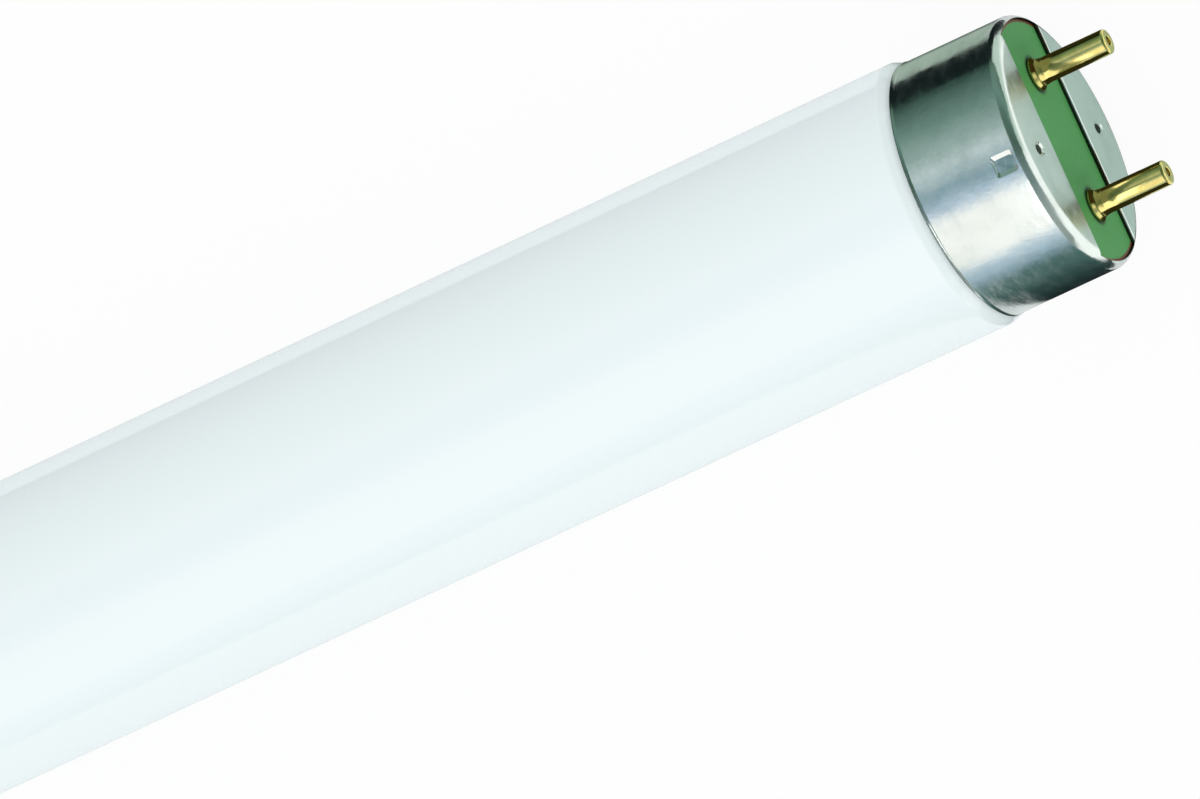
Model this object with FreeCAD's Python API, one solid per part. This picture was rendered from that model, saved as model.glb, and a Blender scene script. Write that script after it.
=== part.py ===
"""Linear fluorescent tube with a two-pin cap at each end.

Millimetres. X runs along the tube, the two pins of an end lie side by side along Y,
and the origin is the middle of the lamp. Everything at an end is made at the +X end
and turned half round Z for the other one.
"""
import FreeCAD, Part
import math
import os

# Lamp
face_to_face = 589.8        # from one cap's end face to the other's
tube_dia = 25.4
glass_wall = 0.6

# Drawn aluminium cap
cap_length = 11.0
cap_sheet = 0.45
cap_step = 0.48             # how far the cap's wall lies inside the tube's surface
corner_radius = 1.1         # between the wall and the end face, at most 2.5 times the sheet
lip_length = 0.8            # flared open edge
lip_flare = 0.3
slot_width = 9.7            # between the two flaps of the end face

# Stakes in the cap's wall and prick marks in its flaps
stake_length = 2.2          # along the tube
stake_width = 2.2
stake_depth = 0.35
stake_inset = 0.4           # slope of a stake's sides
stake_below_corner = 0.12
prick_length = 1.35         # along the slot
prick_width = 2.0
prick_depth = 0.36
prick_from_slot = 3.55      # from the slot's edge to the middle of a mark

# Insulating plate behind the flaps
plate_thickness = 1.2
plate_clearance = 0.1       # to the cap's wall and to the stakes

# Hollow brass pins, riveted into the plate
pin_spacing = 12.7
pin_dia = 2.3
pin_length = 7.1            # beyond the cap's end face
pin_tip_bevel = 0.4
foot_step = 0.4             # the trumpet foot stands out from the pin by this
foot_height = 0.45
shank_step = 0.2            # the shank in the plate is slimmer than the pin by this
shank_clearance = 0.05      # in the plate's hole
rivet_step = 0.65           # the rivet flange stands out from the shank by this
rivet_thickness = 0.3

# Lead wires from the glass to the pins
lead_dia = 0.7
lead_clearance = 0.1        # in the bore of a pin
lead_recess = 0.35          # below a pin's tip

# Glass ends inside the caps
cement_thickness = 0.3
cement_margin = 0.3         # kept clear of the glass rim and of the flared lip
glass_end_gap = 4.0         # from the plate to the glass rim
shoulder_length = 1.6
shoulder_tuck = 0.8         # how far the shoulder starts inside the lip
stem_length = 12.0          # the stem that turns back into the tube, down to its press
stem_margin = 0.8           # from the lead wires to the stem's wall
press_thickness = 3.0

# Radii that follow from the sizes above
tube_r = tube_dia / 2
cap_r = tube_r - cap_step
cap_inner_r = cap_r - cap_sheet
corner_r = min(corner_radius, 2.5 * cap_sheet)
face_flat_r = cap_r - corner_r
neck_r = cap_inner_r - cement_thickness
plate_r = cap_inner_r - plate_clearance
pin_r = pin_dia / 2
shank_r = pin_r - shank_step
lead_r = lead_dia / 2
pin_bore_r = lead_r + lead_clearance
stem_bore_r = pin_spacing / 2 + lead_r + stem_margin

# Places along X at the +X end
face_x = face_to_face / 2
lip_x = face_x - cap_length
plate_top_x = face_x - cap_sheet
plate_bottom_x = plate_top_x - plate_thickness
rivet_x = plate_bottom_x - rivet_thickness
tip_x = face_x + pin_length
rim_x = plate_bottom_x - glass_end_gap
press_x = rim_x - stem_length
stake_x = face_x - corner_r - stake_below_corner - stake_length / 2

X_AXIS = FreeCAD.Vector(1, 0, 0)
Z_AXIS = FreeCAD.Vector(0, 0, 1)
ORIGIN = FreeCAD.Vector(0, 0, 0)


def revolved(points, axis_y=0.0):
    """Turns a closed profile of (x, radius) points about the line parallel to X at y = axis_y."""
    loop = Part.makePolygon([FreeCAD.Vector(x, r, 0) for x, r in points + points[:1]])
    solid = Part.Face(loop).revolve(ORIGIN, X_AXIS, 360)
    solid.translate(FreeCAD.Vector(0, axis_y, 0))
    return solid


def mirrored(points):
    """The profile points of the +X half, followed by their mirror images back to the start."""
    return points + [(-x, r) for x, r in reversed(points)]


def frustum(centre_x, top_z, bottom_z, length, width, inset):
    """A block along Z whose lower end is smaller than its upper end by inset all round."""
    x = length / 2
    y = width / 2
    block = Part.makeWedge(
        centre_x - x + inset, bottom_z, inset - y, -y, centre_x - x,
        centre_x + x - inset, top_z, y - inset, y, centre_x + x,
    )
    block.rotate(ORIGIN, X_AXIS, 90)
    return block


def turned_to_other_end(shape):
    other = shape.copy()
    other.rotate(ORIGIN, Z_AXIS, 180)
    return other


def on_both_sides(shape):
    """The shape at +Z together with its copy turned half round the tube's axis."""
    other = shape.copy()
    other.rotate(ORIGIN, X_AXIS, 180)
    return [shape, other]


# Glass tube: a shoulder at each end, and a stem that turns back inside to the press


def glass_tube():
    shoulder_x = lip_x + shoulder_tuck
    shoulder_shift = glass_wall * (tube_r - neck_r) / shoulder_length
    outside = [
        (press_x, 0),
        (press_x, stem_bore_r),
        (rim_x, stem_bore_r),
        (rim_x, neck_r),
        (shoulder_x, neck_r),
        (shoulder_x - shoulder_length, tube_r),
    ]
    inside = [
        (press_x - press_thickness, 0),
        (press_x - press_thickness, stem_bore_r + glass_wall),
        (rim_x - glass_wall, stem_bore_r + glass_wall),
        (rim_x - glass_wall, neck_r - glass_wall),
        (shoulder_x - shoulder_shift, neck_r - glass_wall),
        (shoulder_x - shoulder_shift - shoulder_length, tube_r - glass_wall),
    ]
    return revolved(mirrored(outside)).cut(revolved(mirrored(inside)))


# End cap: drawn shell, slotted end face, stakes and prick marks


def cap_shell():
    """The cup: flat face, corner in two bevels that follow its radius, wall and flared lip."""
    flare_x = lip_x + lip_length
    lip_slope = math.atan2(lip_flare, lip_length)
    half_round = corner_r * math.sqrt(0.5)
    profile = [
        (face_x, 0),
        (face_x, face_flat_r),
        (face_x - corner_r + half_round, face_flat_r + half_round),
        (face_x - corner_r, cap_r),
        (flare_x, cap_r),
        (lip_x, cap_r + lip_flare),
        (
            lip_x + cap_sheet * math.sin(lip_slope),
            cap_r + lip_flare - cap_sheet * math.cos(lip_slope),
        ),
        (flare_x, cap_inner_r),
        (plate_top_x, cap_inner_r),
        (plate_top_x, 0),
    ]
    return revolved(profile)


def slot_cutter():
    """The gap between the flaps: straight sides, with ends that follow the cap's wall."""
    bottom_x = plate_top_x - cap_sheet
    depth = 3 * cap_sheet
    disc = Part.makeCylinder(cap_inner_r, depth, FreeCAD.Vector(bottom_x, 0, 0), X_AXIS)
    corner = FreeCAD.Vector(bottom_x, -tube_r, -slot_width / 2)
    return disc.common(Part.makeBox(depth, tube_dia, slot_width, corner))


def stake_pocket():
    """The dent in the wall, drawn on past the surface by its own depth."""
    return frustum(
        stake_x,
        cap_r + stake_depth,
        cap_r - stake_depth,
        stake_length + 2 * stake_inset,
        stake_width + 2 * stake_inset,
        2 * stake_inset,
    )


def stake_bump():
    """The sheet pushed in behind a dent, starting halfway through the wall at its edges."""
    width = stake_width + 2 * cap_sheet
    wall_at_edge = math.sqrt(cap_r ** 2 - (width / 2) ** 2)
    return frustum(
        stake_x,
        (cap_inner_r + wall_at_edge) / 2,
        cap_inner_r - stake_depth,
        stake_length + 2 * cap_sheet,
        width,
        stake_inset,
    )


def prick_cutter():
    """A four-sided punch mark in a flap, drawn on past the face by its own depth."""
    middle_z = slot_width / 2 + prick_from_slot
    mouth_x = face_x + prick_depth
    signs = ((-1, 0), (0, -1), (1, 0), (0, 1), (-1, 0))
    rim = [
        FreeCAD.Vector(mouth_x, i * prick_length, middle_z + j * prick_width) for i, j in signs
    ]
    point = FreeCAD.Vector(face_x - prick_depth, 0, middle_z)
    return Part.makeLoft([Part.makePolygon(rim), Part.Vertex(point)], True, True)


def end_cap():
    shell = cap_shell().fuse(on_both_sides(stake_bump()))
    cutters = [slot_cutter()] + on_both_sides(stake_pocket()) + on_both_sides(prick_cutter())
    return shell.cut(cutters).removeSplitter()


# Insulating plate with two pin holes and a flat behind each stake


def insulator_plate():
    base = FreeCAD.Vector(plate_bottom_x, 0, 0)
    disc = Part.makeCylinder(plate_r, plate_thickness, base, X_AXIS)
    flat_z = cap_inner_r - stake_depth - plate_clearance
    corner = FreeCAD.Vector(plate_bottom_x, -plate_r, -flat_z)
    plate = disc.common(Part.makeBox(plate_thickness, 2 * plate_r, 2 * flat_z, corner))
    hole_r = shank_r + shank_clearance
    holes = [
        Part.makeCylinder(hole_r, plate_thickness, base + FreeCAD.Vector(0, y, 0), X_AXIS)
        for y in (-pin_spacing / 2, pin_spacing / 2)
    ]
    return plate.cut(holes)


# Hollow pin: rivet flange, shank in the plate, trumpet foot, stem and bevelled tip


def contact_pin(axis_y):
    tip_bevel = min(pin_tip_bevel, pin_r - pin_bore_r - lead_clearance)
    profile = [
        (rivet_x, pin_bore_r),
        (rivet_x, shank_r + rivet_step),
        (plate_bottom_x, shank_r + rivet_step),
        (plate_bottom_x, shank_r),
        (plate_top_x, shank_r),
        (plate_top_x, pin_r + foot_step),
        (plate_top_x + foot_height, pin_r),
        (tip_x - tip_bevel, pin_r),
        (tip_x, pin_r - tip_bevel),
        (tip_x, pin_bore_r),
    ]
    return revolved(profile, axis_y)


# Lead wire from the glass press, through a pin's bore, to just below its tip


def lead_wire(pin_y):
    length = tip_x - lead_recess - press_x
    return Part.makeCylinder(lead_r, length, FreeCAD.Vector(press_x, pin_y, 0), X_AXIS)


# Cement between the glass neck and the cap's wall, at both ends


def cement_rings():
    start_x = lip_x + lip_length + cement_margin
    end_x = rim_x - cement_margin
    section = [(start_x, neck_r), (end_x, neck_r), (end_x, cap_inner_r), (start_x, cap_inner_r)]
    ring = revolved(section)
    return Part.makeCompound([ring, turned_to_other_end(ring)])


def lamp_end():
    """Every piece of the +X end, by name."""
    pieces = {
        "end_cap": end_cap(),
        "insulator_plate": insulator_plate(),
    }
    for number, pin_y in ((1, -pin_spacing / 2), (2, pin_spacing / 2)):
        pieces[f"contact_pin_{number}"] = contact_pin(pin_y)
        pieces[f"lead_wire_{number}"] = lead_wire(pin_y)
    return pieces


def lamp():
    pieces = {"glass_tube": glass_tube(), "cement_rings": cement_rings()}
    for name, shape in lamp_end().items():
        pieces[f"a_{name}"] = shape
        pieces[f"b_{name}"] = turned_to_other_end(shape)
    return pieces


os.makedirs("parts", exist_ok=True)
for node, shape in lamp().items():
    shape.exportStep(f"parts/{node}.step")
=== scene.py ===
"""Dresses a straight two-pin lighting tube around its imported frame, laid out as an add-on.

Metres. X runs along the tube, the two pins of an end lie side by side along Y, and Z is up.
What stands at an end is made at the +X end and placed at both by a node tree.
"""
import math

import bmesh
import bpy
from bpy.props import FloatProperty, FloatVectorProperty, IntProperty, PointerProperty
from mathutils import Matrix, Vector


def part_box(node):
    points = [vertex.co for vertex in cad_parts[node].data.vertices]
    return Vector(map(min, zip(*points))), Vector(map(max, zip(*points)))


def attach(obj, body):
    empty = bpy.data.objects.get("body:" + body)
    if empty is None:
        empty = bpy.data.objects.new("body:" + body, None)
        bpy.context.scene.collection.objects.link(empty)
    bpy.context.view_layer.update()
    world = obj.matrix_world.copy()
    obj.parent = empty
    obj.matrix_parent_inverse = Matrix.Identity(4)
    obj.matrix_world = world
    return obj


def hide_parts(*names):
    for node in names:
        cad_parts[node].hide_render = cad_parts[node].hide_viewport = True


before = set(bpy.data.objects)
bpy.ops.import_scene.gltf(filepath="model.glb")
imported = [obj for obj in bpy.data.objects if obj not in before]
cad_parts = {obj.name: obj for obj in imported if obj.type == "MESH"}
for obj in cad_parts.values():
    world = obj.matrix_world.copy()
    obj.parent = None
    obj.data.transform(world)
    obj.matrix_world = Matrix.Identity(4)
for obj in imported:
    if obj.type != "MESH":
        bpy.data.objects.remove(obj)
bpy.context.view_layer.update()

bl_info = {
    "name": "Lighting tube",
    "version": (1, 0, 0),
    "blender": (4, 5, 0),
    "location": "View3D > Sidebar > Lighting tube",
    "description": "Glass tube, end caps and contact pins of a straight lighting tube, with a plain stage",
    "category": "Object",
}

MM = 0.001
ON_AXIS = 0.0001 * MM
SAME_POINT = 0.001 * MM
MOST_SIDES_FILLED = 8
ARC_STEPS = 8
END_NODES = {
    "caps": ("a_end_cap", "b_end_cap"),
    "pins": ("a_contact_pin_1", "a_contact_pin_2", "b_contact_pin_1", "b_contact_pin_2"),
    "plates": ("a_insulator_plate", "b_insulator_plate"),
    "leads": ("a_lead_wire_1", "a_lead_wire_2", "b_lead_wire_1", "b_lead_wire_2"),
}

# Places and radii that the frame gives, at the +X end

GLASS_LOW, GLASS_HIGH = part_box("glass_tube")
CAP_LOW, CAP_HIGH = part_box("a_end_cap")
PLATE_LOW, PLATE_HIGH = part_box("a_insulator_plate")
PIN_LOW, PIN_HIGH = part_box("a_contact_pin_2")
LEAD_LOW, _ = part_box("a_lead_wire_2")
_, CEMENT_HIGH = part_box("cement_rings")

TUBE_R = GLASS_HIGH.y
RIM_X = GLASS_HIGH.x
PRESS_X = LEAD_LOW.x
FACE_X = CAP_HIGH.x
LIP_X = CAP_LOW.x
LIP_R = CAP_HIGH.y
PLATE_TOP_X = PLATE_HIGH.x
PLATE_BOTTOM_X = PLATE_LOW.x
TIP_X = PIN_HIGH.x
RIVET_X = PIN_LOW.x
PIN_Y = (PIN_LOW.y + PIN_HIGH.y) / 2
CAP_INNER_R = CEMENT_HIGH.y
FLOOR_Z = GLASS_LOW.z
CARD_Z = FLOOR_Z + 0.05 * MM


# Sizes and colours that a user would change


def length(name, description, millimetres):
    return FloatProperty(
        name=name, description=description, default=millimetres * MM, min=0.0,
        unit="LENGTH", subtype="DISTANCE", precision=5,
    )


def angle(name, description, degrees):
    return FloatProperty(
        name=name, description=description, default=math.radians(degrees),
        unit="ROTATION", subtype="ANGLE",
    )


def colour(name, description, rgb):
    return FloatVectorProperty(
        name=name, description=description, default=rgb, size=3, min=0.0, max=1.0, subtype="COLOR",
    )


def count(name, description, number):
    return IntProperty(name=name, description=description, default=number, min=8)


class GlassSettings(bpy.types.PropertyGroup):
    cement: length("Cement", "Gap between the glass neck and the cap's wall", 0.3)
    shoulder_tuck: length("Shoulder tuck", "How far the shoulder starts inside the cap's lip", 0.3)
    shoulder_length: length("Shoulder length", "Length of the drawn-in shoulder", 1.6)
    shoulder_rounding: length("Shoulder rounding", "Rounding at both ends of the shoulder", 0.5)
    rim_rounding: length("Rim rounding", "Rounding of the rim where the stem turns back inside", 0.9)
    stem_bore: length("Stem bore", "Radius of the stem's well", 7.5)
    segments: count("Segments", "Flat steps round the tube", 160)
    coating: colour("Coating", "White coating seen through the glass", (0.877, 0.948, 0.953))
    thin_coating: colour("Thin coating", "Coating where it lies a little thinner", (0.865, 0.935, 0.94))


class CapSettings(bpy.types.PropertyGroup):
    sheet: length("Sheet", "Thickness of the drawn sheet", 0.45)
    lip_flare: length("Lip flare", "How far the open edge flares beyond the wall", 0.3)
    lip_reach: length("Lip reach", "How far the open edge reaches on over the glass's shoulder", 0.5)
    lip_length: length("Lip length", "Length of the flared open edge", 0.5)
    corner: length("Corner", "Rounding between the wall and the end face", 1.1)
    slot_width: length("Slot width", "Gap between the two flaps of the end face", 9.7)
    slot_end_step: length("Slot end step", "Rim left inside the wall at the slot's ends", 0.03)
    slot_edge: length("Slot edge", "Rounding of the flaps along the slot", 0.28)
    stake_length: length("Stake length", "Stake dent along the tube", 2.2)
    stake_width: length("Stake width", "Stake dent round the tube", 2.2)
    stake_depth: length("Stake depth", "How deep the stake is pressed in", 0.25)
    stake_slope: length("Stake slope", "Width of the dent's sloping sides", 0.5)
    stake_end_slope: length("Stake end slope", "Width of the dent's steep ends", 0.15)
    stake_rounding: length("Stake rounding", "Rounding of the dent's outline", 0.3)
    stake_below_corner: length("Stake below corner", "From the rounded corner to the dent", 0.12)
    prick_length: length("Prick length", "Punch mark along the slot", 1.35)
    prick_width: length("Prick width", "Punch mark across the flap", 2.0)
    prick_depth: length("Prick depth", "Depth of the punch mark", 0.36)
    prick_from_slot: length("Prick from slot", "From the slot's edge to the middle of a mark", 3.55)
    segments: count("Segments", "Flat steps round the cap", 192)
    metal: colour("Metal", "Drawn aluminium", (0.76, 0.81, 0.78))
    tarnish: colour("Tarnish", "Dull patches of the aluminium", (0.66, 0.72, 0.69))
    # Pressed: darker metal on the stake dents' floors, painted shade
    pressed: colour("Pressed", "Shaded metal on the floor of a stake dent", (0.36, 0.46, 0.41))
    # Sheared edge: near-black on the slot's cut walls and the prick marks' bottoms, partly the rough cut
    # edge and partly painted shade
    sheared_and_shaded: colour("Sheared edge", "Rough edge that the punch left", (0.05, 0.06, 0.05))


class PinSettings(bpy.types.PropertyGroup):
    diameter: length("Diameter", "Straight stretch of a contact pin", 2.38)
    foot_step: length("Foot step", "How far the trumpet foot stands out from the pin", 0.38)
    foot_height: length("Foot height", "Sets how high the trumpet foot's curve rises", 0.45)
    shank_step: length("Shank step", "How much slimmer the shank in the plate is", 0.24)
    rivet_step: length("Rivet step", "How far the rivet flange stands out from the shank", 0.65)
    tip_rounding: length("Tip rounding", "Rounding of the tip", 0.30)
    bore: length("Bore", "Radius of the hole for the lead wire", 0.45)
    segments: count("Segments", "Flat steps round a pin", 64)
    brass: colour("Brass", "Drawn brass", (0.80, 0.69, 0.25))
    aged_brass: colour("Aged brass", "Brass that has dulled", (0.60, 0.50, 0.16))


class BoardSettings(bpy.types.PropertyGroup):
    painted_radius: length("Painted radius", "Radius that the green face reaches", 11.43)
    green: colour("Green", "Green face of the hard-paper board", (0.080, 0.335, 0.088))
    deep_green: colour("Deep green", "Darker fibres of the board", (0.077, 0.325, 0.085))
    core: colour("Core", "Bare paper at the board's edge", (0.17, 0.055, 0.022))
    # Painted shade: a dark ring painted on the board round each pin's foot, where the foot's contact
    # shadow falls
    painted_foot_shade_reach: length("Grime reach", "Dark ring on the board round a pin's foot", 0.4)
    painted_foot_shade: colour("Painted shade", "Dark ring round a pin's foot", (0.006, 0.02, 0.008))


class StageSettings(bpy.types.PropertyGroup):
    floor: colour("Floor", "Plain floor", (0.90, 0.91, 0.91))
    off_square: angle("Off square", "How far the view turns from square on towards the +X end", 20.0)
    tip_over: angle("Tip over", "How far the near side of the cap tips towards the upper pin", 1.75)
    rise: angle("Rise", "How steeply the tube rises to the right in the picture", 25.0)


# Meshes


def rounded(corners, steps=ARC_STEPS):
    """An outline of (x, radius) points from (x, radius, rounding) corners, with arcs for roundings."""
    points = [Vector(corner[:2]) for corner in corners]
    outline = []
    for index, corner in enumerate(points):
        rounding = corners[index][2]
        if not rounding:
            outline.append(corner)
            continue
        back = (points[index - 1] - corner).normalized()
        ahead = (points[(index + 1) % len(points)] - corner).normalized()
        half = back.angle(ahead) / 2
        start = corner + back * rounding / math.tan(half)
        centre = corner + (back + ahead).normalized() * rounding / math.sin(half)
        spoke = start - centre
        way = 1.0 if back.x * ahead.y - back.y * ahead.x < 0 else -1.0
        sweep = way * (math.pi - 2 * half)
        outline.extend(
            centre + Matrix.Rotation(sweep * step / steps, 2) @ spoke for step in range(steps + 1)
        )
    return outline


def turned(name, outline, segments):
    """A mesh object whose outline, from axis to axis or a closed ring, is turned about X."""
    shape = bmesh.new()
    rings = []
    for x, radius in outline:
        if radius < ON_AXIS:
            rings.append([shape.verts.new((x, 0.0, 0.0))] * segments)
            continue
        turns = [2 * math.pi * step / segments for step in range(segments)]
        rings.append(
            [shape.verts.new((x, radius * math.sin(turn), radius * math.cos(turn))) for turn in turns]
        )
    pairs = list(zip(rings, rings[1:]))
    if outline[0][1] >= ON_AXIS:
        pairs.append((rings[-1], rings[0]))
    for ring, following in pairs:
        for step in range(segments):
            after = (step + 1) % segments
            corners = [ring[step], ring[after], following[after], following[step]]
            shape.faces.new(list(dict.fromkeys(corners)))
    bmesh.ops.recalc_face_normals(shape, faces=shape.faces)
    return mesh_object(name, shape)


def mesh_object(name, shape):
    mesh = bpy.data.meshes.new(name)
    shape.to_mesh(mesh)
    shape.free()
    piece = bpy.data.objects.new(name, mesh)
    bpy.context.scene.collection.objects.link(piece)
    return piece


def smoothed(mesh, crease_degrees=35.0):
    mesh.shade_smooth()
    mesh.set_sharp_from_angle(angle=math.radians(crease_degrees))


def baked_modifiers(piece):
    """Turns the piece with its modifiers into a plain mesh."""
    depsgraph = bpy.context.evaluated_depsgraph_get()
    evaluated = piece.evaluated_get(depsgraph)
    mesh = bpy.data.meshes.new_from_object(
        evaluated, preserve_all_data_layers=True, depsgraph=depsgraph
    )
    piece.modifiers.clear()
    piece.data = mesh
    mesh.name = piece.name


def combined(piece, tools, operation):
    """Joins the tools to the piece, or cuts them out of it, and removes them."""
    for tool in tools:
        modifier = piece.modifiers.new("Combine", "BOOLEAN")
        modifier.solver = "MANIFOLD"
        modifier.operation = operation
        modifier.object = tool
    baked_modifiers(piece)
    for tool in tools:
        bpy.data.objects.remove(tool)
    closed(piece)


def closed(piece):
    """Merges doubled points, fills what a combination left open and turns every face outwards."""
    shape = bmesh.new()
    shape.from_mesh(piece.data)
    bmesh.ops.remove_doubles(shape, verts=shape.verts, dist=SAME_POINT)
    gaps = [edge for edge in shape.edges if edge.is_boundary]
    bmesh.ops.holes_fill(shape, edges=gaps, sides=MOST_SIDES_FILLED)
    bmesh.ops.recalc_face_normals(shape, faces=shape.faces)
    if not shape.faces or not all(edge.is_manifold for edge in shape.edges):
        raise RuntimeError(f"{piece.name} is not a closed shape")
    shape.to_mesh(piece.data)
    shape.free()


def on_both_sides(piece):
    """The piece and a copy of it turned half round the tube's axis."""
    other = bpy.data.objects.new(piece.name + "_below", piece.data.copy())
    other.data.transform(Matrix.Rotation(math.pi, 4, "X"))
    bpy.context.scene.collection.objects.link(other)
    return [piece, other]


def frustum(name, centre_x, top_z, bottom_z, along, across, inset_x=0.0, inset_y=0.0, rounding=0.0):
    """A block along Z whose lower end is smaller than its upper end by the insets."""
    signs = ((-1, -1), (1, -1), (1, 1), (-1, 1))
    loops = []
    for z, share in ((bottom_z, 1.0), (top_z, 0.0)):
        half_x = along / 2 - share * inset_x
        half_y = across / 2 - share * inset_y
        outline = rounded([(i * half_x, j * half_y, rounding) for i, j in signs])
        loops.append([(centre_x + x, y, z) for x, y in outline])
    return block_between(name, loops)


def prism(name, outline, across):
    """An outline of (x, z) points drawn out along Y, as far to one side as to the other."""
    return block_between(name, [[(x, y, z) for x, z in outline] for y in (-across / 2, across / 2)])


def block_between(name, loops):
    """A closed mesh object from one loop of points to the other, which has as many."""
    shape = bmesh.new()
    near, far = ([shape.verts.new(point) for point in loop] for loop in loops)
    shape.faces.new(near)
    shape.faces.new(far)
    for step in range(len(near)):
        after = (step + 1) % len(near)
        shape.faces.new([near[step], near[after], far[after], far[step]])
    bmesh.ops.triangulate(shape, faces=shape.faces)
    bmesh.ops.recalc_face_normals(shape, faces=shape.faces)
    return mesh_object(name, shape)


# Node tree that stands pieces at both ends of the lamp


def lamp_ends_tree():
    """A row of so many pieces across the +X end, and the row turned half round for the other end."""
    tree = bpy.data.node_groups.new("Lamp ends", "GeometryNodeTree")
    for name, kind in (
        ("Piece", "NodeSocketGeometry"),
        ("Number across", "NodeSocketInt"),
        ("Spacing", "NodeSocketFloat"),
        ("Finish", "NodeSocketMaterial"),
    ):
        tree.interface.new_socket(name, in_out="INPUT", socket_type=kind)
    tree.interface.new_socket("Pieces", in_out="OUTPUT", socket_type="NodeSocketGeometry")
    given = tree.nodes.new("NodeGroupInput")
    result = tree.nodes.new("NodeGroupOutput")
    across, spacing = given.outputs["Number across"], given.outputs["Spacing"]
    gaps = add_node(tree, "ShaderNodeMath", {0: across, 1: 1.0}, operation="SUBTRACT")
    width = add_node(tree, "ShaderNodeMath", {0: gaps.outputs[0], 1: spacing}, operation="MULTIPLY")
    first = add_node(tree, "ShaderNodeMath", {0: width.outputs[0], 1: -0.5}, operation="MULTIPLY")
    start = add_node(tree, "ShaderNodeCombineXYZ", {"Y": first.outputs[0]})
    step = add_node(tree, "ShaderNodeCombineXYZ", {"Y": spacing})
    row = add_node(
        tree, "GeometryNodeMeshLine",
        {"Count": across, "Start Location": start.outputs[0], "Offset": step.outputs[0]},
        mode="OFFSET",
    )
    stood = add_node(
        tree, "GeometryNodeInstanceOnPoints",
        {"Points": row.outputs["Mesh"], "Instance": given.outputs["Piece"]},
    )
    other_end = add_node(
        tree, "GeometryNodeTransform",
        {"Geometry": stood.outputs["Instances"], "Rotation": (0.0, 0.0, math.pi)},
    )
    both = tree.nodes.new("GeometryNodeJoinGeometry")
    tree.links.new(other_end.outputs["Geometry"], both.inputs["Geometry"])
    tree.links.new(stood.outputs["Instances"], both.inputs["Geometry"])
    real = add_node(tree, "GeometryNodeRealizeInstances", {"Geometry": both.outputs["Geometry"]})
    finished = add_node(
        tree, "GeometryNodeSetMaterial",
        {"Geometry": real.outputs["Geometry"], "Material": given.outputs["Finish"]},
    )
    tree.links.new(finished.outputs["Geometry"], result.inputs["Pieces"])
    return tree


def add_node(tree, kind, inputs=None, **settings):
    """A node with its settings made, and its inputs given a value or linked to a socket."""
    made = tree.nodes.new(kind)
    for name, value in settings.items():
        setattr(made, name, value)
    for name, value in (inputs or {}).items():
        if isinstance(value, bpy.types.NodeSocket):
            tree.links.new(value, made.inputs[name])
        else:
            made.inputs[name].default_value = value
    return made


def stand_at_ends(piece, across, spacing, material):
    """Gives the piece the node tree that stands so many of it at each end."""
    tree = bpy.data.node_groups.get("Lamp ends") or lamp_ends_tree()
    modifier = piece.modifiers.new("Lamp ends", "NODES")
    modifier.node_group = tree
    values = {"Number across": across, "Spacing": spacing, "Finish": material}
    for item in tree.interface.items_tree:
        if item.in_out == "INPUT" and item.name in values:
            modifier[item.identifier] = values[item.name]


def joins_frame(piece, slot, *nodes):
    """Lets the piece stand in the frame for the nodes, whose parts it hides; the slot name is not used."""
    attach(piece, "root")
    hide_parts(*nodes)


# Materials


def surface_material(name):
    """A new material with its tree, its shader and the object's own coordinates."""
    material = bpy.data.materials.new(name)
    material.use_nodes = True
    tree = material.node_tree
    shader = tree.nodes["Principled BSDF"]
    place = tree.nodes.new("ShaderNodeTexCoord").outputs["Object"]
    return material, tree, shader, place


def noise(tree, place, scale, stretch=None, detail=4.0, roughness=0.55):
    """Noise at so many waves in a metre, stretched along the axes where asked."""
    where = place
    if stretch:
        where = add_node(tree, "ShaderNodeMapping", {"Vector": place, "Scale": stretch}).outputs[0]
    inputs = {"Vector": where, "Scale": scale, "Detail": detail, "Roughness": roughness}
    return add_node(tree, "ShaderNodeTexNoise", inputs).outputs[0]


def ramp(tree, value, low, high, to_low=0.0, to_high=1.0):
    """The value's stretch from low to high, brought to the stretch asked for and held at its ends."""
    inputs = {"Value": value, "From Min": low, "From Max": high, "To Min": to_low, "To Max": to_high}
    return add_node(tree, "ShaderNodeMapRange", inputs).outputs[0]


def mixed(tree, factor, first, second):
    """The first colour turning into the second as the factor goes from 0 to 1."""
    made = tree.nodes.new("ShaderNodeMix")
    made.data_type = "RGBA"
    sockets = {"Factor_Float": factor, "A_Color": first, "B_Color": second}
    by_id = {socket.identifier: socket for socket in made.inputs}
    for identifier, value in sockets.items():
        if isinstance(value, bpy.types.NodeSocket):
            tree.links.new(value, by_id[identifier])
        elif identifier == "Factor_Float":
            by_id[identifier].default_value = value
        else:
            by_id[identifier].default_value = (*value, 1.0)
    return next(socket for socket in made.outputs if socket.identifier == "Result_Color")


def bump(tree, shader, height, strength, depth, under=None):
    """Roughens the shader's surface by the height, on top of the bump under it."""
    inputs = {"Height": height, "Strength": strength, "Distance": depth}
    if under is not None:
        inputs["Normal"] = under
    made = add_node(tree, "ShaderNodeBump", inputs)
    tree.links.new(made.outputs[0], shader.inputs["Normal"])
    return made.outputs[0]


def coated_glass_material(settings):
    """Glossy clear glass over a white coating of slightly uneven thickness."""
    material, tree, shader, place = surface_material("coated_glass")
    streaks = noise(tree, place, 60.0, stretch=(0.15, 1.0, 1.0), detail=3.0)
    tint = mixed(tree, ramp(tree, streaks, 0.35, 0.65), settings.coating, settings.thin_coating)
    tree.links.new(tint, shader.inputs["Base Color"])
    film = noise(tree, place, 220.0, detail=3.0)
    roughness = ramp(tree, film, 0.3, 0.7, to_low=0.07, to_high=0.13)
    tree.links.new(roughness, shader.inputs["Roughness"])
    shader.inputs["IOR"].default_value = 1.5
    waves = noise(tree, place, 45.0, stretch=(0.3, 1.0, 1.0), detail=2.0)
    bump(tree, shader, waves, strength=0.12, depth=0.3 * MM)
    return material


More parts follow.
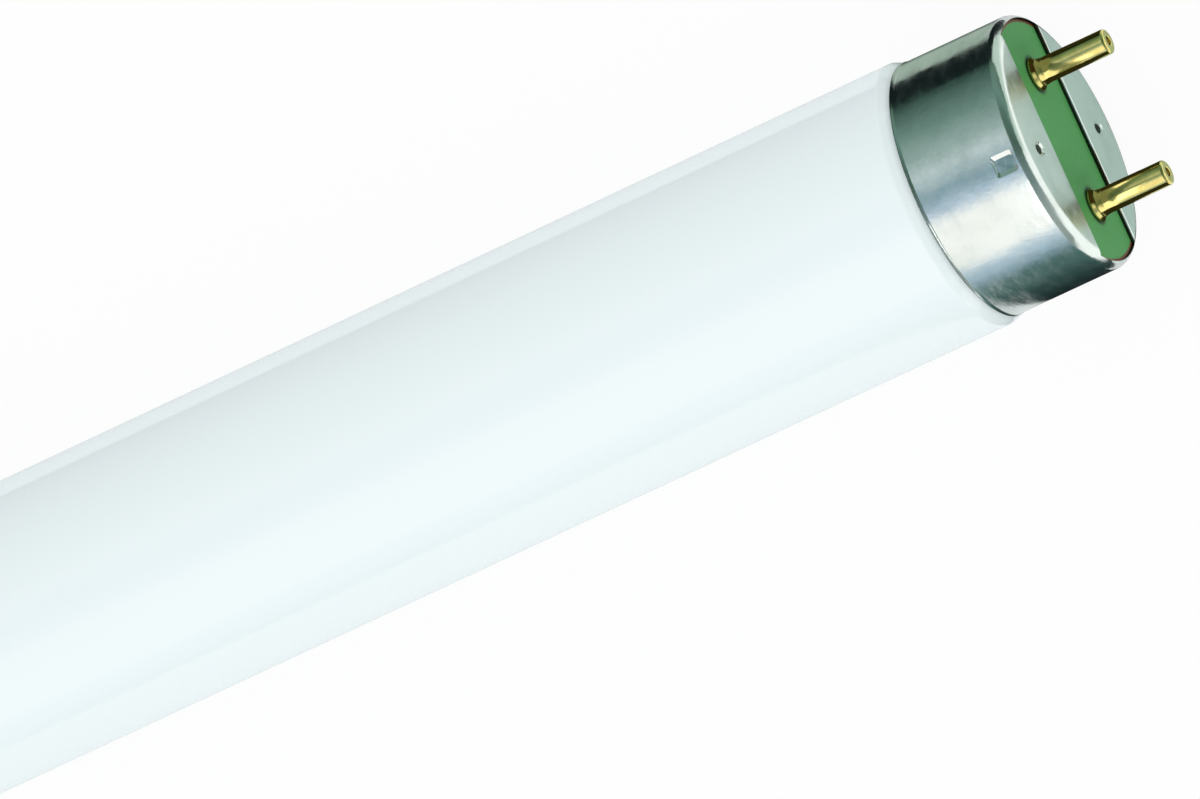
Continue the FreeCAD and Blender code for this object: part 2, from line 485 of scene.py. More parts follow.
def drawn_aluminium_material(settings):
    """Bright drawn sheet: fine lines round the cap, dull patches, small dents and scuffs, with painted
    shade on the stake dents' floors, the slot's cut walls and the prick marks.
    """
    material, tree, shader, place = surface_material("drawn_aluminium")
    lines = noise(tree, place, 90.0, stretch=(90.0, 0.5, 0.5), detail=3.0)
    patches = noise(tree, place, 330.0, detail=5.0)
    scuffs = noise(tree, place, 900.0, stretch=(1.0, 0.45, 0.45), detail=6.0, roughness=0.7)
    metal = mixed(tree, ramp(tree, patches, 0.42, 0.75), settings.metal, settings.tarnish)
    # The stake dents' floors darken in blotches: painted shade
    pressed = add_node(tree, "ShaderNodeAttribute", attribute_name="pressed").outputs["Fac"]
    blotches = ramp(tree, noise(tree, place, 1500.0, detail=2.0), 0.15, 0.75)
    dent_shade = add_node(tree, "ShaderNodeMath", {0: pressed, 1: blotches}, operation="MULTIPLY")
    metal = mixed(tree, dent_shade.outputs[0], metal, settings.pressed)
    # The slot's cut walls and the prick marks' bottoms turn near-black: partly the rough cut edge, partly
    # painted shade in these recesses
    sheared_and_shaded = add_node(tree, "ShaderNodeAttribute", attribute_name="sheared_and_shaded").outputs["Fac"]
    tree.links.new(mixed(tree, sheared_and_shaded, metal, settings.sheared_and_shaded), shader.inputs["Base Color"])
    shader.inputs["Metallic"].default_value = 1.0
    facing = tree.nodes.new("ShaderNodeTexCoord").outputs["Normal"]
    squared = add_node(tree, "ShaderNodeVectorMath", {0: facing, 1: facing}, operation="MULTIPLY")
    end_on = add_node(tree, "ShaderNodeSeparateXYZ", {0: squared.outputs[0]}).outputs["X"]
    on_wall = ramp(tree, scuffs, 0.35, 0.65, to_low=0.10, to_high=0.25)
    more_on_face = ramp(tree, end_on, 0.9, 0.99, to_low=0.0, to_high=0.2)
    more_where_sheared = 0.35
    dulled = add_node(tree, "ShaderNodeMath", {0: on_wall, 1: more_on_face}, operation="ADD")
    inputs = {0: sheared_and_shaded, 1: more_where_sheared, 2: dulled.outputs[0]}
    roughness = add_node(tree, "ShaderNodeMath", inputs, operation="MULTIPLY_ADD")
    tree.links.new(roughness.outputs[0], shader.inputs["Roughness"])
    fine = bump(tree, shader, lines, strength=0.10, depth=0.04 * MM)
    dented = bump(tree, shader, patches, strength=0.52, depth=0.1 * MM, under=fine)
    bump(tree, shader, scuffs, strength=0.35, depth=0.03 * MM, under=dented)
    return material


def hard_paper_material(settings):
    """Green hard-paper board with fibres, bare paper at its edge and painted shade round the pins' feet.
    """
    material, tree, shader, place = surface_material("hard_paper_board")
    fibres = noise(tree, place, 2200.0, stretch=(1.0, 0.7, 1.0), detail=5.0)
    green = mixed(tree, ramp(tree, fibres, 0.35, 0.7), settings.green, settings.deep_green)
    inputs = {0: place, 1: (0.0, 1.0, 1.0)}
    across = add_node(tree, "ShaderNodeVectorMath", inputs, operation="MULTIPLY").outputs[0]
    radius = add_node(tree, "ShaderNodeVectorMath", {0: across}, operation="LENGTH").outputs["Value"]
    raggedness, fade = 0.12 * MM, 0.02 * MM
    inputs = {0: noise(tree, place, 700.0), 1: raggedness, 2: radius}
    ragged_radius = add_node(tree, "ShaderNodeMath", inputs, operation="MULTIPLY_ADD").outputs[0]
    bare_from = settings.painted_radius + raggedness / 2
    bare = ramp(tree, ragged_radius, bare_from - fade, bare_from + fade)
    sheet = mixed(tree, bare, green, settings.core)
    # A dark ring round each pin's foot is painted shade, where the foot's contact shadow falls
    folded = add_node(tree, "ShaderNodeVectorMath", {0: across}, operation="ABSOLUTE").outputs[0]
    inputs = {0: folded, 1: (0.0, PIN_Y, 0.0)}
    from_pin = add_node(tree, "ShaderNodeVectorMath", inputs, operation="DISTANCE").outputs["Value"]
    foot_r = PIN_HIGH.z
    ring = ramp(tree, from_pin, foot_r, foot_r + settings.painted_foot_shade_reach, to_low=1.0, to_high=0.0)
    tree.links.new(mixed(tree, ring, sheet, settings.painted_foot_shade), shader.inputs["Base Color"])
    roughness = ramp(tree, fibres, 0.3, 0.7, to_low=0.46, to_high=0.52)
    tree.links.new(roughness, shader.inputs["Roughness"])
    shader.inputs["Specular IOR Level"].default_value = 0.25
    bump(tree, shader, fibres, strength=0.03, depth=0.02 * MM)
    return material


def drawn_brass_material(settings):
    """Brass with lines along the pins and a dulled skin."""
    material, tree, shader, place = surface_material("drawn_brass")
    lines = noise(tree, place, 2200.0, stretch=(0.03, 1.0, 1.0), detail=3.0)
    skin = noise(tree, place, 900.0, detail=5.0)
    tint = mixed(tree, ramp(tree, skin, 0.4, 0.75), settings.brass, settings.aged_brass)
    tree.links.new(tint, shader.inputs["Base Color"])
    shader.inputs["Metallic"].default_value = 1.0
    roughness = ramp(tree, skin, 0.3, 0.75, to_low=0.09, to_high=0.17)
    tree.links.new(roughness, shader.inputs["Roughness"])
    fine = bump(tree, shader, lines, strength=0.12, depth=0.03 * MM)
    bump(tree, shader, skin, strength=0.10, depth=0.05 * MM, under=fine)
    return material


def lead_wire_material():
    """Copper-coated wire, browned in patches by soldering."""
    copper, browned = (0.72, 0.42, 0.25), (0.30, 0.17, 0.10)
    material, tree, shader, place = surface_material("copper_wire")
    patches = noise(tree, place, 1200.0, detail=4.0)
    tint = mixed(tree, ramp(tree, patches, 0.4, 0.7), copper, browned)
    tree.links.new(tint, shader.inputs["Base Color"])
    shader.inputs["Metallic"].default_value = 1.0
    roughness = ramp(tree, patches, 0.3, 0.7, to_low=0.28, to_high=0.5)
    tree.links.new(roughness, shader.inputs["Roughness"])
    bump(tree, shader, patches, strength=0.2, depth=0.04 * MM)
    return material


def cement_material():
    """Baked resin and filler, grainy and matt."""
    filler, resin = (0.52, 0.45, 0.33), (0.36, 0.29, 0.19)
    material, tree, shader, place = surface_material("baked_cement")
    grain = noise(tree, place, 2600.0, detail=6.0, roughness=0.7)
    tint = mixed(tree, ramp(tree, grain, 0.35, 0.7), filler, resin)
    tree.links.new(tint, shader.inputs["Base Color"])
    roughness = ramp(tree, grain, 0.3, 0.7, to_low=0.75, to_high=0.95)
    tree.links.new(roughness, shader.inputs["Roughness"])
    bump(tree, shader, grain, strength=0.5, depth=0.08 * MM)
    return material


# Operators


class MakeGlassTube(bpy.types.Operator):
    """Turns the glass with its drawn-in shoulders, rounded rims and stem wells"""

    bl_idname = "lighting_tube.glass_tube"
    bl_label = "Glass tube"

    def execute(self, context):
        size = context.scene.lamp_glass
        neck_r = CAP_INNER_R - size.cement
        shoulder_x = LIP_X + size.shoulder_tuck
        half = [
            (PRESS_X, 0.0, 0.0),
            (PRESS_X, size.stem_bore, size.rim_rounding),
            (RIM_X, size.stem_bore, size.rim_rounding),
            (RIM_X, neck_r, size.rim_rounding),
            (shoulder_x, neck_r, size.shoulder_rounding),
            (shoulder_x - size.shoulder_length, TUBE_R, size.shoulder_rounding),
        ]
        corners = half + [(-x, radius, rounding) for x, radius, rounding in reversed(half)]
        glass = turned("glass_tube_coated", rounded(corners), size.segments)
        smoothed(glass.data)
        glass.data.materials.append(coated_glass_material(size))
        joins_frame(glass, "coated_glass", "glass_tube")
        return {"FINISHED"}


class MakeEndCaps(bpy.types.Operator):
    """Draws the cap, punches its slot, stakes and prick marks, and stands one at each end"""

    bl_idname = "lighting_tube.end_caps"
    bl_label = "End caps"

    lip_edge_share = 0.42       # rounding of the lip's edges, as a share of the sheet
    prick_segments = 96
    prick_rings = 64
    crease_degrees = 18.0

    def wall_r(self, size):
        return LIP_R - size.lip_flare

    def slot_end_r(self, size):
        return self.wall_r(size) - size.sheet - size.slot_end_step

    def shell(self, size):
        """The cup: flat face, rounded corner, wall and flared lip with rounded edges."""
        wall_r = self.wall_r(size)
        inner_r = wall_r - size.sheet
        lip_x = LIP_X - size.lip_reach
        flare_x = lip_x + size.lip_length
        slope = math.atan2(size.lip_flare, size.lip_length)
        edge = self.lip_edge_share * size.sheet
        corners = [
            (FACE_X, 0.0, 0.0),
            (FACE_X, wall_r, size.corner),
            (flare_x, wall_r, 2 * size.lip_flare),
            (lip_x, LIP_R, edge),
            (lip_x + size.sheet * math.sin(slope), LIP_R - size.sheet * math.cos(slope), edge),
            (flare_x, inner_r, 2 * size.lip_flare),
            (PLATE_TOP_X, inner_r, 0.0),
            (PLATE_TOP_X, 0.0, 0.0),
        ]
        return turned("end_caps", rounded(corners), size.segments)

    def slot(self, size):
        """The gap between the flaps: rounded edges, and ends that follow the cap's wall."""
        depth = 2 * size.sheet
        radius = self.slot_end_r(size)
        high_x, low_x = FACE_X + depth, FACE_X - depth
        outline = [(high_x, 0.0), (high_x, radius), (low_x, radius), (low_x, 0.0)]
        disc = turned("slot_disc", outline, size.segments)
        half, edge = size.slot_width / 2, size.slot_edge
        turns = [math.pi / 2 * step / ARC_STEPS for step in range(ARC_STEPS + 1)]
        flank = [
            (FACE_X - edge * (1 - math.sin(turn)), half + edge * (1 - math.cos(turn)))
            for turn in turns
        ]
        upper = [(FACE_X - 2 * depth, half), *flank, (FACE_X + 2 * depth, half + edge)]
        band = prism("slot_band", upper + [(x, -z) for x, z in reversed(upper)], 4 * radius)
        combined(disc, [band], "INTERSECT")
        return disc

    def prick(self, size):
        """A ball that dips into the flap, narrower along the slot than across the flap."""
        middle_z = size.slot_width / 2 + size.prick_from_slot
        radius = ((size.prick_width / 2) ** 2 + size.prick_depth ** 2) / (2 * size.prick_depth)
        shape = bmesh.new()
        bmesh.ops.create_uvsphere(
            shape, u_segments=self.prick_segments, v_segments=self.prick_rings, radius=radius
        )
        narrowed = Matrix.Diagonal((1.0, size.prick_length / size.prick_width, 1.0, 1.0))
        place = Matrix.Translation((FACE_X + radius - size.prick_depth, 0.0, middle_z)) @ narrowed
        bmesh.ops.transform(shape, matrix=place, verts=shape.verts)
        return mesh_object("prick", shape)

    def stakes(self, size):
        """The dent in the wall, and the sheet that it pushes in behind it."""
        wall_r = self.wall_r(size)
        inner_r = wall_r - size.sheet
        stake_x = FACE_X - size.corner - size.stake_below_corner - size.stake_length / 2
        dent = frustum(
            "stake_dent", stake_x, wall_r + size.stake_depth, wall_r - size.stake_depth,
            size.stake_length + 2 * size.stake_end_slope, size.stake_width + 2 * size.stake_slope,
            2 * size.stake_end_slope, 2 * size.stake_slope, size.stake_rounding,
        )
        across = size.stake_width + 2 * size.sheet
        wall_at_edge = math.sqrt(wall_r ** 2 - (across / 2) ** 2)
        bump_inside = frustum(
            "stake_bump", stake_x, (inner_r + wall_at_edge) / 2, inner_r - size.stake_depth,
            size.stake_length + 2 * size.sheet, across, size.stake_slope, size.stake_slope,
        )
        return dent, bump_inside

    def mark_faces(self, cap, size):
        """Marks the punched walls of the slot and the bottoms of the prick marks, for rougher metal and
        painted shade, and the stakes' floors, for painted shade.
        """
        rough_and_shaded = cap.data.attributes.new("sheared_and_shaded", "FLOAT", "FACE")
        dent_shade = cap.data.attributes.new("pressed", "FLOAT", "FACE")
        near = 0.02 * MM
        # How much of a face's normal lies along an axis
        hardly, mostly, fully = 0.1, 0.9, 0.99
        half = size.slot_width / 2
        end_r = self.slot_end_r(size)
        floor_z = self.wall_r(size) - size.stake_depth
        deep_x = FACE_X - size.prick_depth / 2
        for polygon in cap.data.polygons:
            x, y, z = polygon.center
            facing_x, facing_z = abs(polygon.normal.x), abs(polygon.normal.z)
            in_sheet = PLATE_TOP_X < x < FACE_X - near
            on_side = abs(abs(z) - half) < near and facing_z > mostly
            at_end = abs(math.hypot(y, z) - end_r) < near and abs(z) < half
            on_end = at_end and facing_x < hardly
            off_mark = abs(abs(z) - half - size.prick_from_slot)
            in_mark = x < deep_x and abs(y) < size.prick_length / 2 and off_mark < size.prick_width / 2
            punched = in_sheet and (on_side or on_end or in_mark)
            rough_and_shaded.data[polygon.index].value = 1.0 if punched else 0.0
            on_floor = abs(abs(z) - floor_z) < near and facing_z > fully
            dent_shade.data[polygon.index].value = 1.0 if on_floor else 0.0

    def execute(self, context):
        size = context.scene.lamp_cap
        cap = self.shell(size)
        dent, bump_inside = self.stakes(size)
        combined(cap, on_both_sides(bump_inside), "UNION")
        cutters = [self.slot(size)]
        cutters += on_both_sides(dent)
        cutters += on_both_sides(self.prick(size))
        combined(cap, cutters, "DIFFERENCE")
        self.mark_faces(cap, size)
        smoothed(cap.data, self.crease_degrees)
        stand_at_ends(cap, 1, 0.0, drawn_aluminium_material(size))
        flats = cap.modifiers.new("Flat faces", "WEIGHTED_NORMAL")
        flats.keep_sharp = True
        baked_modifiers(cap)
        joins_frame(cap, "cap_aluminium", *END_NODES["caps"])
        return {"FINISHED"}


class MakeContactPins(bpy.types.Operator):
    """Turns a hollow pin with its trumpet foot and rounded tip, and stands two at each end"""

    bl_idname = "lighting_tube.contact_pins"
    bl_label = "Contact pins"

    flange_rounding = 0.1 * MM
    bore_rounding = 0.12 * MM
    foot_rounding = 0.08 * MM
    rim_rounding = 0.1 * MM

    # The foot's curve up to the straight stem, in shares of the foot's step and height
    throat_step = 0.2
    throat_height = 0.7
    throat_rounding = 0.25 * MM
    stem_height = 2.1
    stem_rounding = 1.0 * MM

    def execute(self, context):
        size = context.scene.lamp_pins
        pin_r = size.diameter / 2
        shank_r = pin_r - size.shank_step
        flange_r = shank_r + size.rivet_step
        foot_r = pin_r + size.foot_step
        throat_r = pin_r + self.throat_step * size.foot_step
        rim_x = PLATE_TOP_X + size.foot_height / 2
        throat_x = rim_x + self.throat_height * size.foot_height
        stem_x = rim_x + self.stem_height * size.foot_height
        corners = [
            (RIVET_X, size.bore, 0.0),
            (RIVET_X, flange_r, self.flange_rounding),
            (PLATE_BOTTOM_X, flange_r, self.flange_rounding),
            (PLATE_BOTTOM_X, shank_r, 0.0),
            (PLATE_TOP_X, shank_r, 0.0),
            (PLATE_TOP_X, foot_r, self.foot_rounding),
            (rim_x, foot_r, self.rim_rounding),
            (throat_x, throat_r, self.throat_rounding),
            (stem_x, pin_r, self.stem_rounding),
            (TIP_X, pin_r, size.tip_rounding),
            (TIP_X, size.bore, self.bore_rounding),
        ]
        pins = turned("contact_pins", rounded(corners), size.segments)
        smoothed(pins.data)
        stand_at_ends(pins, 2, 2 * PIN_Y, drawn_brass_material(size))
        baked_modifiers(pins)
        joins_frame(pins, "pin_brass", *END_NODES["pins"])
        return {"FINISHED"}


class FinishCarriedPieces(bpy.types.Operator):
    """Gives the plates, the lead wires and the cement, which keep their own shapes, their finishes"""

    bl_idname = "lighting_tube.carried_pieces"
    bl_label = "Plates, lead wires and cement"

    def execute(self, context):
        finishes = (
            (END_NODES["plates"], hard_paper_material(context.scene.lamp_board)),
            (END_NODES["leads"], lead_wire_material()),
            (("cement_rings",), cement_material()),
        )
        for nodes, material in finishes:
            for node in nodes:
                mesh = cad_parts[node].data
                mesh.materials.clear()
                mesh.materials.append(material)
        return {"FINISHED"}


def one_tone(tone):
    """The tones of a card that glows alike all over."""
    return ((0.0, tone), (1.0, tone))


class SetStage(bpy.types.Operator):
    """Lays the floor, hangs the cards and a lamp, and places the camera"""

    bl_idname = "lighting_tube.stage"
    bl_label = "Stage"

    # The picture, and where in it the middle of the +X end's face lies
    picture_width = 1200
    picture_height = 799
    face_centre_px = (1069.6, 138.2)
    px_per_m = 11330.0
    lens_mm = 1000.0
    sensor_mm = 36.0

    floor_half = 4.0
    tent_r = 0.35
    tent_steps = 60

    def bare_material(self, name):
        """A new material and its tree, without any nodes."""
        material = bpy.data.materials.new(name)
        material.use_nodes = True
        material.node_tree.nodes.clear()
        return material, material.node_tree

    def floor(self, size):
        half = self.floor_half
        corners = ((-half, -half), (half, -half), (half, half), (-half, half))
        shape = bmesh.new()
        shape.faces.new([shape.verts.new((x, y, FLOOR_Z)) for x, y in corners])
        made = mesh_object("floor", shape)
        made.data.materials.append(self.floor_material(size))

    def floor_material(self, size):
        """A matt floor with a share of plain white in it, by what kind of ray sees it."""
        material, tree = self.bare_material("plain_floor")
        paths = tree.nodes.new("ShaderNodeLightPath").outputs
        share = 0.0
        for ray, white_share in (
            ("Is Camera Ray", 0.93),
            ("Is Glossy Ray", 0.1),
            ("Is Transmission Ray", 0.9),
        ):
            inputs = {0: paths[ray], 1: white_share, 2: share}
            share = add_node(tree, "ShaderNodeMath", inputs, operation="MULTIPLY_ADD").outputs[0]
        matt = add_node(tree, "ShaderNodeBsdfDiffuse", {"Color": (*size.floor, 1.0)})
        white = add_node(tree, "ShaderNodeEmission", {"Color": (1.0, 1.0, 1.0, 1.0)})
        blend = add_node(tree, "ShaderNodeMixShader", {0: share, 1: matt.outputs[0], 2: white.outputs[0]})
        output = tree.nodes.new("ShaderNodeOutputMaterial")
        tree.links.new(blend.outputs[0], output.inputs["Surface"])
        return material

    def world(self, context):
        """Soft light from all round, and plain white where the camera, the metal or the glass sees it."""
        world = bpy.data.worlds.new("pale_studio")
        context.scene.world = world
        world.use_nodes = True
        tree = world.node_tree
        tree.nodes.clear()
        paths = tree.nodes.new("ShaderNodeLightPath").outputs
        shown = paths["Is Camera Ray"]
        for ray in ("Is Glossy Ray", "Is Transmission Ray"):
            inputs = {0: shown, 1: paths[ray]}
            shown = add_node(tree, "ShaderNodeMath", inputs, operation="MAXIMUM").outputs[0]
        soft = add_node(tree, "ShaderNodeBackground", {"Color": (0.97, 0.99, 1.0, 1.0), "Strength": 0.92})
        white = add_node(tree, "ShaderNodeBackground", {"Color": (1.0, 1.0, 1.0, 1.0), "Strength": 1.0})
        blend = add_node(tree, "ShaderNodeMixShader", {0: shown, 1: soft.outputs[0], 2: white.outputs[0]})
        output = tree.nodes.new("ShaderNodeOutputWorld")
        tree.links.new(blend.outputs[0], output.inputs["Surface"])

    def glow_material(self, name, tones, of_angle, one_sided):
        """Light in the tones given, by the degrees round the tube or by the distance from its axis."""
        material, tree = self.bare_material(name)
        place = tree.nodes.new("ShaderNodeTexCoord").outputs["Object"]
        parts = add_node(tree, "ShaderNodeSeparateXYZ", {0: place}).outputs
        if of_angle:
            inputs = {0: parts["Y"], 1: parts["Z"]}
            turn = add_node(tree, "ShaderNodeMath", inputs, operation="ARCTAN2").outputs[0]
            value = add_node(tree, "ShaderNodeMath", {0: turn}, operation="DEGREES").outputs[0]
        else:
            value = add_node(tree, "ShaderNodeMath", {0: parts["Y"]}, operation="ABSOLUTE").outputs[0]
        first, last = tones[0][0], tones[-1][0]
        ladder = add_node(tree, "ShaderNodeValToRGB", {0: ramp(tree, value, first, last)})
        steps = ladder.color_ramp.elements
        while len(steps) < len(tones):
            steps.new(0.5)
        for step, (position, tone) in zip(steps, tones):
            step.position = (position - first) / (last - first)
            step.color = (*tone, 1.0)
        glow = add_node(tree, "ShaderNodeEmission", {"Color": ladder.outputs[0]})
        if one_sided:
            behind = tree.nodes.new("ShaderNodeNewGeometry").outputs["Backfacing"]
            clear = tree.nodes.new("ShaderNodeBsdfTransparent")
            inputs = {0: behind, 1: glow.outputs[0], 2: clear.outputs[0]}
            glow = add_node(tree, "ShaderNodeMixShader", inputs)
        output = tree.nodes.new("ShaderNodeOutputMaterial")
        tree.links.new(glow.outputs[0], output.inputs["Surface"])
        return material

    def card(self, name, rows, tones, of_angle=False, one_sided=False):
        """A card through rows of points that only shows in the metal and the glass."""
        shape = bmesh.new()
        lines = [[shape.verts.new(point) for point in row] for row in rows]
        for line, following in zip(lines, lines[1:]):
            for step in range(len(line) - 1):
                shape.faces.new([line[step], line[step + 1], following[step + 1], following[step]])
        made = mesh_object(name, shape)
        made.data.materials.append(self.glow_material(name, tones, of_angle, one_sided))
        made.visible_camera = False
        made.visible_diffuse = False
        made.visible_transmission = False
        made.visible_shadow = False

    def near_card(self, name, rows, tones, one_sided=False):
        """A card in millimetres from the middle of the +X end's face, its tones by those from the axis."""
        places = [[(FACE_X + x * MM, y * MM, z * MM) for x, y, z in row] for row in rows]
        self.card(name, places, [(away * MM, tone) for away, tone in tones], one_sided=one_sided)

    def floor_card(self, name, side, rows, tones):
        """A near card just above the floor, by rows of a distance from the axis and two ends along it."""
        self.near_card(name, [[(x, side * y, CARD_Z / MM) for x in ends] for y, *ends in rows], tones)

    def tent(self):
        """Light cards bent over the tube, which narrow past the pins, with tones by the angle round it."""
        foot = 90.0 + math.degrees(math.asin(-CARD_Z / self.tent_r))
        shares = [2 * step / self.tent_steps - 1 for step in range(self.tent_steps + 1)]
        turns = [math.radians(foot * share) for share in shares]
        arch = [(self.tent_r * math.sin(turn), self.tent_r * math.cos(turn)) for turn in turns]
        white = (1.19, 1.16, 1.135)
        tent_tones = (
            (-foot, (0.12, 0.22, 0.24)),
            (-80.0, (0.42, 0.56, 0.68)),
            (-70.0, (0.65, 0.78, 0.90)),
            (-62.0, white),
            (-21.0, white),
            (-13.0, (0.62, 0.74, 0.90)),
            (2.0, (0.26, 0.39, 0.46)),
            (21.0, (0.66, 0.75, 0.77)),
            (33.0, (0.39, 0.51, 0.49)),
            (57.0, (0.185, 0.305, 0.265)),
            (foot, (0.025, 0.06, 0.045)),
        )
        grey_tones = [(turn, (green, green, green)) for turn, (_, green, _) in tent_tones]
        end_tones = (
            (-50.0, (0.37, 0.43, 0.42)),
            (-20.0, (0.20, 0.28, 0.28)),
            (15.0, (0.08, 0.14, 0.11)),
            (40.0, (0.10, 0.18, 0.15)),
            (62.0, (0.17, 0.30, 0.25)),
            (foot, (0.10, 0.17, 0.13)),
        )
        low_tones = ((-foot, (0.30, 0.36, 0.34)),)
        far_low_tones = (
            (-foot, (1.05, 1.10, 1.07)),
            (-78.0, (1.00, 1.05, 1.02)),
            (-68.0, (0.42, 0.48, 0.47)),
        )
        # Places along the tube, each with the tent's width there as a share of its full width
        back, middle, cap = (-0.62, 1.0), (0.04, 1.0), (0.25, 1.0)
        past_pins, far = (0.50, 0.81), (0.75, 0.62)
        for name, ends, tones in (
            ("back_tent", (back, middle), grey_tones),
            ("light_tent", (middle, cap), tent_tones),
            ("tent_end", (cap, past_pins), low_tones + end_tones),
            ("tent_far_end", (past_pins, far), far_low_tones + end_tones),
        ):
            rows = [[(x, share * y, share * z) for y, z in arch] for x, share in ends]
            self.card(name, rows, tones, of_angle=True)

    def end_lights(self):
        """Light cards across the tent's far end, and on the floor from the pins to there."""
        bright, dimmed = (1.16, 1.20, 1.17), (0.60, 0.74, 0.65)
        far_x, far_y, far_top = 465.1, 450.0, 260.0
        floor_rows = (
            (0.0, 20.1, 455.1),
            (12.0, 20.1, 455.1),
            (12.1, 8.6, 455.1),
            (350.0, 8.6, 455.1),
        )
        for number, side, outer in ((1, -1.0, bright), (2, 1.0, dimmed)):
            tones = ((0.0, bright), (14.0, bright), (32.0, outer), (500.0, outer))
            upright = [[(far_x, y, CARD_Z / MM), (far_x, y, far_top)] for y in (0.0, side * far_y)]
            self.near_card(f"far_light_{number}", upright, tones)
            self.floor_card(f"front_light_{number}", side, floor_rows, tones)

    def dark_cards(self):
        """Dark cards on both sides of the tube, which give the cap its dark zones."""
        dark = (0.008, 0.014, 0.014)
        beside, top = 37.0, 7.5
        upright = [[(x, beside, CARD_Z / MM), (x, beside, top)] for x in (-744.9, 5.1)]
        self.near_card("dark_card", upright, one_tone(dark))
        self.floor_card(
            "low_dark_card", -1.0,
            ((12.1, -11.9, -4.4), (19.9, -14.6, -6.1), (20.0, -14.6, 8.1), (340.0, -148.9, 8.1)),
            (
                (13.0, (0.006, 0.009, 0.009)),
                (26.0, (0.022, 0.05, 0.048)),
                (60.0, (0.075, 0.15, 0.14)),
                (300.0, (0.11, 0.21, 0.22)),
            ),
        )
        self.floor_card("pin_dark_card", 1.0, ((20.0, -5.1, 8.1), (37.0, -12.3, 8.1)), one_tone(dark))

    def pin_cards(self, size, number, pin_y):
        """Dark cards close to a pin, for its two edges and the upper half of its foot."""
        edge, foot = (0.030, 0.030, 0.010), (0.045, 0.028, 0.010)
        lean, slant = math.tan(size.tip_over), math.tan(size.off_square)
        tip = (TIP_X - FACE_X) / MM
        low_edge = [
            [(x, pin_y - aside, z) for z in heights]
            for x, aside, heights in ((-0.3, 1.6, (-4.5, 1.2)), (tip, 11.5, (-4.6, 2.3)))
        ]
        high_edge = [[(x, pin_y + 3.0 - lean * z, z) for z in (-3.5, 0.7)] for x in (tip, -1.2)]
        foot_shade = [[(2.2 - slant * z, pin_y + aside, z) for z in (-4.0, 3.5)] for aside in (0.6, 5.0)]
        for name, rows, tone in (
            ("pin_low_edge", low_edge, edge),
            ("pin_high_edge", high_edge, edge),
            ("foot_shade", foot_shade, foot),
        ):
            self.near_card(f"{name}_{number}", rows, one_tone(tone), one_sided=True)

    def face_cards(self):
        """Cards just clear of the cap's face, which the pins and their feet mirror in its place."""
        shade_y, light_z = (12.0, -12.0), (1.2, 4.8)
        light = (1.5, 1.5, 1.5)
        for name, x, sides, (low, high), tone in (
            ("pin_shade_low", 0.1, shade_y, (-12.1, 0.0), (0.045, 0.048, 0.020)),
            ("pin_shade_high", 0.1, shade_y, (0.0, 4.85), (0.25, 0.30, 0.22)),
            ("foot_light_1", 0.12, (-7.2, -12.5), light_z, light),
            ("foot_light_2", 0.12, (5.5, 0.5), light_z, light),
        ):
            rows = [[(x, y, low), (x, y, high)] for y in sides]
            self.near_card(name, rows, one_tone(tone), one_sided=True)

    def cap_cards(self):
        """Cards close to the cap: a gleam above it, and its edges' tones on the floor round it."""
        gleam, front = (2.2, 2.2, 2.2), (0.47, 0.605, 0.55)
        shade, edge, olive = (0.02, 0.02, 0.012), (0.11, 0.15, 0.13), (0.40, 0.50, 0.42)
        above = 28.0
        gleam_rows = [
            [(x, y, above) for x in ends]
            for y, *ends in ((-7.5, -6.5, -2.4), (-18.0, -7.5, -4.1), (-40.0, -12.5, -8.1))
        ]
        self.near_card("pin_light", gleam_rows, one_tone(gleam))
        self.floor_card("under_card", 1.0, ((-12.1, -11.4, 0.2), (12.1, -11.4, 0.2)), one_tone(shade))
        self.floor_card(
            "edge_card", 1.0, ((12.5, -15.9, -3.7), (36.5, -22.6, -12.3)),
            ((12.5, edge), (16.5, edge), (18.5, olive), (40.0, olive)),
        )
        self.floor_card("front_card", 1.0, ((-11.6, 0.4, 20.1), (11.6, 0.4, 20.1)), one_tone(front))

    def camera(self, context, size):
        """A long lens on the +X end, turned so that the end's face lies where the picture has it."""
        off, tip, rise = size.off_square, size.tip_over, size.rise
        to_camera = Vector(
            (math.sin(off), -math.cos(off) * math.sin(tip), math.cos(off) * math.cos(tip))
        )
        along = Vector((1.0, 0.0, 0.0))
        along = (along - along.dot(to_camera) * to_camera).normalized()
        across = to_camera.cross(along)
        right = along * math.cos(rise) - across * math.sin(rise)
        up = along * math.sin(rise) + across * math.cos(rise)
        data = bpy.data.cameras.new("picture")
        data.lens = self.lens_mm
        data.sensor_width = self.sensor_mm
        data.clip_start = 0.1
        data.clip_end = 20.0
        camera = bpy.data.objects.new("picture", data)
        context.scene.collection.objects.link(camera)
        distance = self.lens_mm / self.sensor_mm * self.picture_width / self.px_per_m
        from_right = (self.face_centre_px[0] - self.picture_width / 2) / self.px_per_m
        from_up = (self.picture_height / 2 - self.face_centre_px[1]) / self.px_per_m
        aim = Vector((FACE_X, 0.0, 0.0)) - right * from_right - up * from_up
        turn = Matrix((right, up, to_camera)).transposed().to_4x4()
        camera.matrix_world = Matrix.Translation(aim + to_camera * distance) @ turn
        context.scene.camera = camera

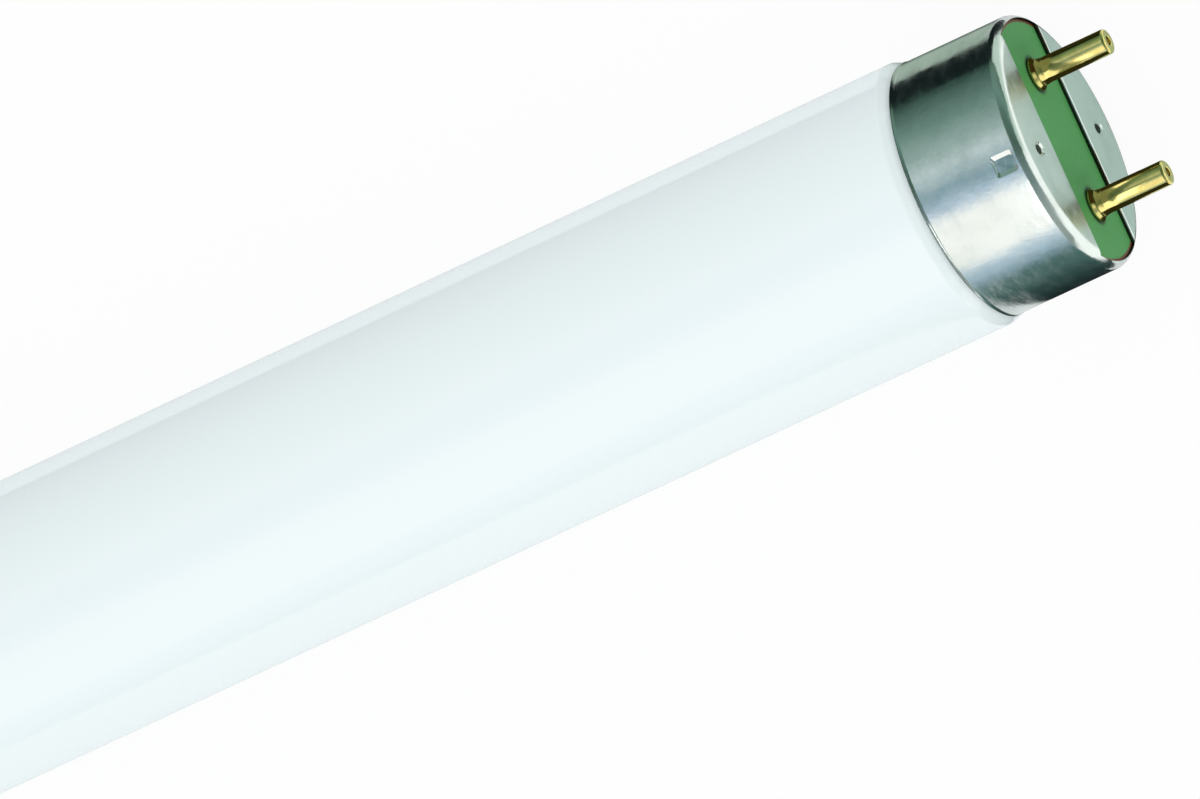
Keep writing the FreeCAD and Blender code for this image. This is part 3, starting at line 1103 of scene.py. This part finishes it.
    def lamp(self, context, name, place, aim, width, power):
        data = bpy.data.lights.new(name, "AREA")
        data.shape = "SQUARE"
        data.size = width
        data.energy = power
        lamp = bpy.data.objects.new(name, data)
        lamp.location = place
        lamp.rotation_euler = (Vector(aim) - Vector(place)).to_track_quat("-Z", "Y").to_euler()
        lamp.visible_glossy = False
        context.scene.collection.objects.link(lamp)

    def execute(self, context):
        size = context.scene.lamp_stage
        context.scene.view_settings.view_transform = "Standard"
        self.floor(size)
        self.world(context)
        self.tent()
        self.end_lights()
        self.dark_cards()
        for number, pin_y in ((1, -PIN_Y), (2, PIN_Y)):
            self.pin_cards(size, number, pin_y / MM)
        self.face_cards()
        self.cap_cards()
        self.lamp(context, "key", place=(0.35, -0.7, 0.9), aim=(0.25, 0.0, 0.0), width=0.7, power=1.5)
        self.camera(context, size)
        return {"FINISHED"}


class LightingTubePanel(bpy.types.Panel):
    """Steps that make the lighting tube, in order"""

    bl_label = "Lighting tube"
    bl_idname = "VIEW3D_PT_lighting_tube"
    bl_space_type = "VIEW_3D"
    bl_region_type = "UI"
    bl_category = "Lighting tube"

    def draw(self, context):
        for step in STEPS:
            self.layout.operator(step.bl_idname)


SETTINGS = {
    "lamp_glass": GlassSettings,
    "lamp_cap": CapSettings,
    "lamp_pins": PinSettings,
    "lamp_board": BoardSettings,
    "lamp_stage": StageSettings,
}
STEPS = (MakeGlassTube, MakeEndCaps, MakeContactPins, FinishCarriedPieces, SetStage)
CLASSES = (*SETTINGS.values(), *STEPS, LightingTubePanel)


def register():
    for item in CLASSES:
        bpy.utils.register_class(item)
    for name, group in SETTINGS.items():
        setattr(bpy.types.Scene, name, PointerProperty(type=group))


def unregister():
    for name in SETTINGS:
        delattr(bpy.types.Scene, name)
    for item in reversed(CLASSES):
        bpy.utils.unregister_class(item)


def main():
    register()
    bpy.ops.lighting_tube.glass_tube()
    bpy.ops.lighting_tube.end_caps()
    bpy.ops.lighting_tube.contact_pins()
    bpy.ops.lighting_tube.carried_pieces()
    bpy.ops.lighting_tube.stage()


if __name__ == "__main__":
    main()
